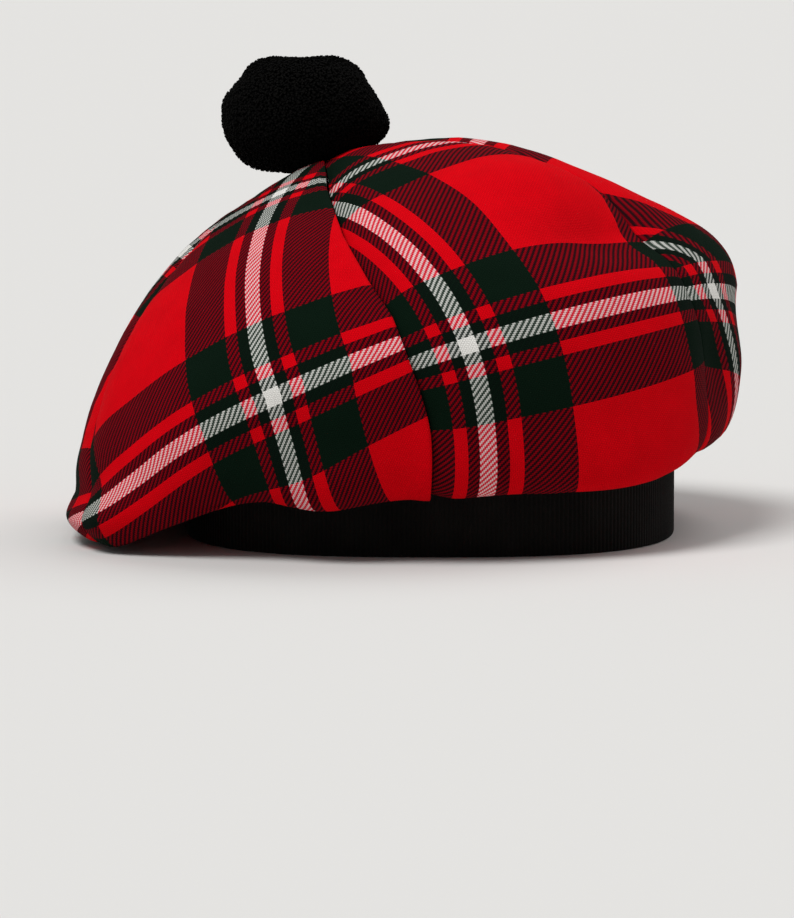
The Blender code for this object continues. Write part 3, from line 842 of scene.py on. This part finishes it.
crown_centre = Vector(RIM_CENTRE + band_middle) + DOME_HEIGHT * Vector(crown_axis())
ball_middle = crown_centre + Vector((-POMPOM_DROOP, 0, POMPOM_SEAT))


def ball_point(direction, below):
    """A point of the yarn ball's outside, or that far below it."""
    swell = UNEVENNESS * noise.noise(direction / UNEVEN_SIZE)
    for roll, spread, share in LUMPS:
        toward = Vector((math.cos(math.radians(roll)), 0, math.sin(math.radians(roll))))
        swell += POMPOM_RADIUS * share * math.exp(-(math.degrees(direction.angle(toward)) / spread)**2)
    reach = POMPOM_RADIUS + swell - below
    rise = POMPOM_HALF_HEIGHT + swell - below
    return ball_middle + Vector((reach * direction.x, reach * direction.y, rise * direction.z))


bpy.ops.object.select_all(action="DESELECT")
bpy.ops.mesh.primitive_ico_sphere_add(subdivisions=5, radius=1.0)
core = bpy.context.object
core.name = "yarn_core"
for vertex in core.data.vertices:
    vertex.co = ball_point(vertex.co.normalized(), TUFT_HEIGHT * 0.7)
core.data.shade_smooth()
print("ball middle:", [round(v / MM, 1) for v in ball_middle])

# %% Tufts
TUFT_COUNT = 13000
TUFT_RADIUS = 0.48 * MM
TUFT_FOOT = 0.75
TUFT_LEAN = 0.2
TUFT_SCATTER = 0.008
TUFT_SHORTEST, TUFT_LONGEST = 0.82, 1.1
TUFT_SEED = 11

bpy.ops.object.select_all(action="DESELECT")
bpy.ops.mesh.primitive_cone_add(vertices=4, radius1=TUFT_FOOT * TUFT_RADIUS, radius2=TUFT_RADIUS,
                                depth=TUFT_HEIGHT, end_fill_type="NGON",
                                location=(0, 0, TUFT_HEIGHT / 2))
tuft = bpy.context.object
tuft.name = "yarn_tuft"
bpy.ops.object.transform_apply(location=True, rotation=False, scale=False)
bpy.ops.object.mode_set(mode="EDIT")
bpy.ops.mesh.select_mode(type="FACE")
select_faces(tuft, lambda middle, normal: normal.z < -0.5)
bpy.ops.mesh.delete(type="FACE")
bpy.ops.object.mode_set(mode="OBJECT")
tuft_points = np.array([vertex.co[:] for vertex in tuft.data.vertices])
tuft_faces = [tuple(face.vertices) for face in tuft.data.polygons]
bpy.data.objects.remove(tuft)

chance = np.random.default_rng(TUFT_SEED)
golden_turn = math.pi * (3 - math.sqrt(5))
points, faces = [], []
for index in range(TUFT_COUNT):
    height = 1 - 2 * (index + 0.5) / TUFT_COUNT
    turn = golden_turn * index
    level = math.sqrt(1 - height * height)
    direction = Vector((level * math.cos(turn), level * math.sin(turn), height))
    direction = (direction + Vector(chance.normal(0, TUFT_SCATTER, 3))).normalized()
    root = ball_point(direction, TUFT_HEIGHT)
    strand = (ball_point(direction, 0) - root).normalized() + Vector(chance.normal(0, TUFT_LEAN, 3))
    own_turn = Matrix.Rotation(chance.uniform(0, 2 * math.pi), 3, "Z")
    strand_turn = strand.to_track_quat("Z", "X").to_matrix() @ own_turn
    stretch = np.array((1.0, 1.0, chance.uniform(TUFT_SHORTEST, TUFT_LONGEST)))
    start = len(points) * len(tuft_points)
    points.append((tuft_points * stretch) @ np.array(strand_turn).T + np.array(root))
    faces.extend(tuple(start + corner for corner in face) for face in tuft_faces)
mesh = bpy.data.meshes.new("yarn_tufts")
mesh.from_pydata(np.concatenate(points).tolist(), [], faces)
tufts = bpy.data.objects.new("yarn_tufts", mesh)
bpy.context.scene.collection.objects.link(tufts)
bpy.ops.object.select_all(action="DESELECT")
core.select_set(True)
tufts.select_set(True)
bpy.context.view_layer.objects.active = core
bpy.ops.object.join()
toorie = core
toorie.name = "yarn_toorie"
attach(toorie, "root")
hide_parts("pompom")
print("tufts:", TUFT_COUNT, "faces:", len(toorie.data.polygons))

# %% [markdown]
# ## Black wool yarn
# Dyed wool is matte and nearly black, with only a little light on the fibre ends. A broad
# noise makes some strands a touch lighter, as where the dye took less.

# %% Yarn
yarn, tree, shader = new_material("wool_yarn_black")
place = add_node(tree, "TexCoord").outputs["Object"]
strand = add_node(tree, "TexNoise", {"Vector": place, "Scale": 700.0, "Detail": 3.0, "Roughness": 0.7})
shades = add_node(tree, "ValToRGB", {"Fac": strand.outputs["Fac"]})
shades.color_ramp.elements[0].position = 0.35
shades.color_ramp.elements[0].color = hex_color("#040404")
shades.color_ramp.elements[1].position = 0.75
shades.color_ramp.elements[1].color = hex_color("#121110")
tree.links.new(shades.outputs["Color"], shader.inputs["Base Color"])
bump = add_node(tree, "Bump", {"Height": strand.outputs["Fac"], "Distance": 0.3 * MM, "Strength": 0.8})
tree.links.new(bump.outputs[0], shader.inputs["Normal"])
shader.inputs["Roughness"].default_value = 1.0
shader.inputs["Specular IOR Level"].default_value = 0.05
toorie.data.materials.append(yarn)
print("yarn finish:", yarn.name)
